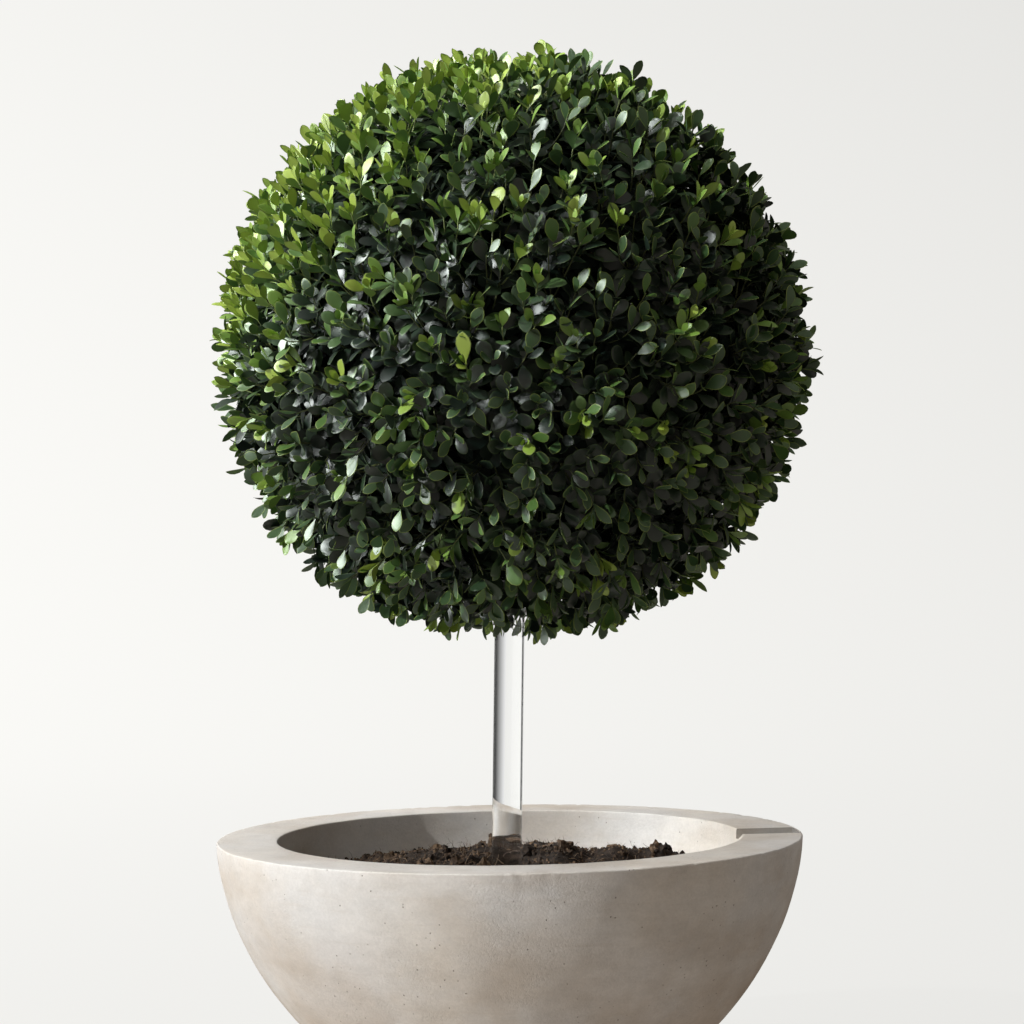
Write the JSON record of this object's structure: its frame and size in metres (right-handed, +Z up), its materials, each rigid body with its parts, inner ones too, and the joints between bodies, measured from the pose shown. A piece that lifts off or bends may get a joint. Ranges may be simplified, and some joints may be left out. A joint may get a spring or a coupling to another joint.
{
  "type": "potted boxwood ball topiary",
  "caption": "Clipped ball of small glossy leaves on a straight clear rod, standing in dark soil in a wide, thick-walled concrete bowl.",
  "frame": {"origin": "centre of the bowl's flat underside, which stands on the ground", "axes": "+Z up; +X towards the shallow notch in the rim, which is the side the rod leans to; -Y is the front"},
  "size_m": [0.6016, 0.6048, 1.0248],
  "materials": {
    "concrete": "matte",
    "soil": "matte",
    "clear_rod": "polished",
    "leaves": "satin"
  },
  "bodies": {
    "root": {"bowl": "concrete", "soil": "soil", "stem_rod": "clear_rod", "crown": "leaves"}
  },
  "joints": []
}
